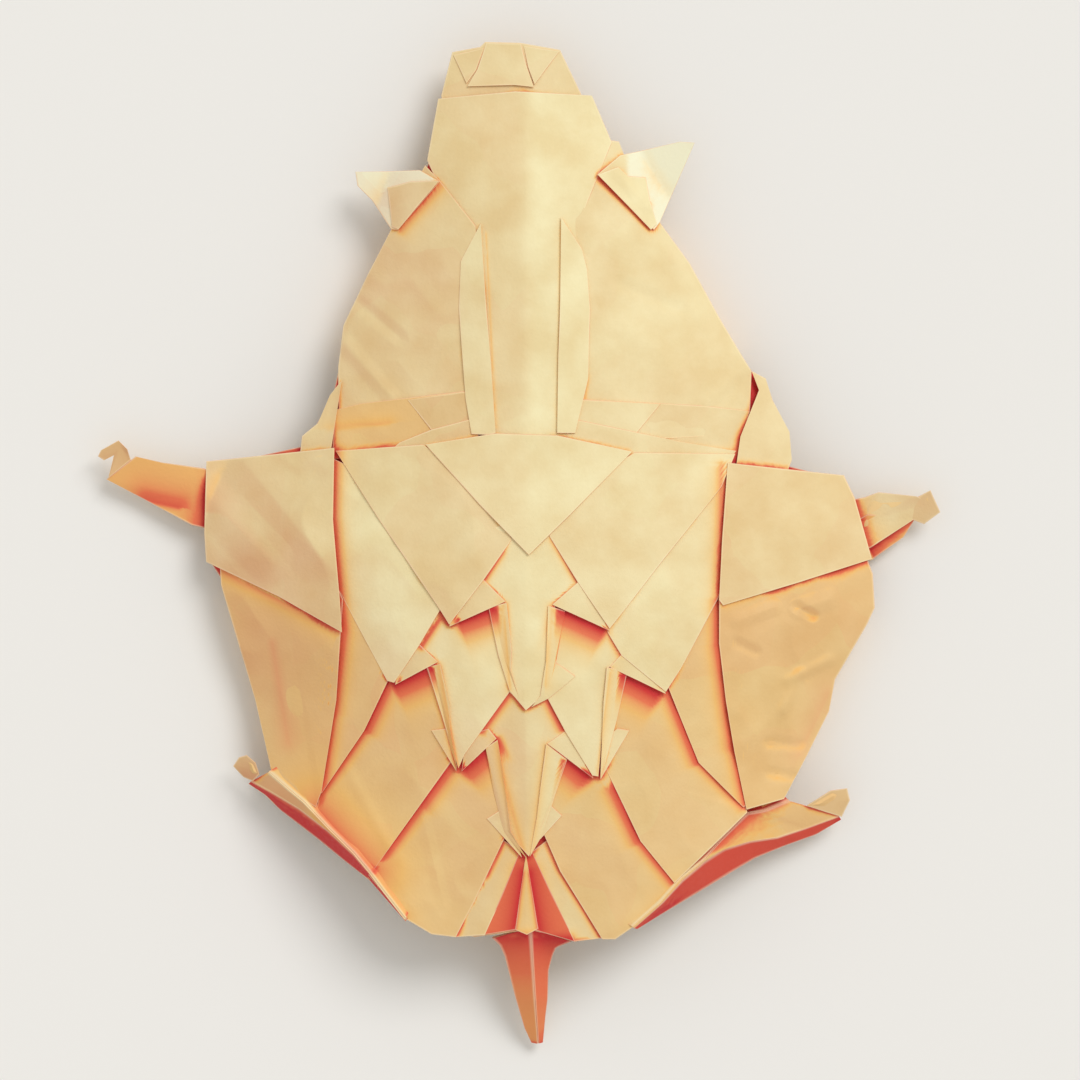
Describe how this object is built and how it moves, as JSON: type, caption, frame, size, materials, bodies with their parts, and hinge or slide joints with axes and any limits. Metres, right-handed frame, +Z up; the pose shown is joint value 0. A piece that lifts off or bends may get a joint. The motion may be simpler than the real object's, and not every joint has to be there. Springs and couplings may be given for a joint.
{
  "type": "origami boar",
  "caption": "Boar folded from a square of cream paper, lying on its belly with legs spread, its back pleated into pointed scales.",
  "frame": {"origin": "centre of the bounding box on the table that the boar rests on", "axes": "+Y towards the snout, +X to the right seen from above, +Z up"},
  "size_m": [0.1693, 0.2013, 0.0272],
  "materials": {
    "cream_paper": "matte uncoated cream paper, creased and a little crumpled"
  },
  "bodies": {
    "root": {"folded_sheet": "cream_paper"}
  },
  "joints": []
}
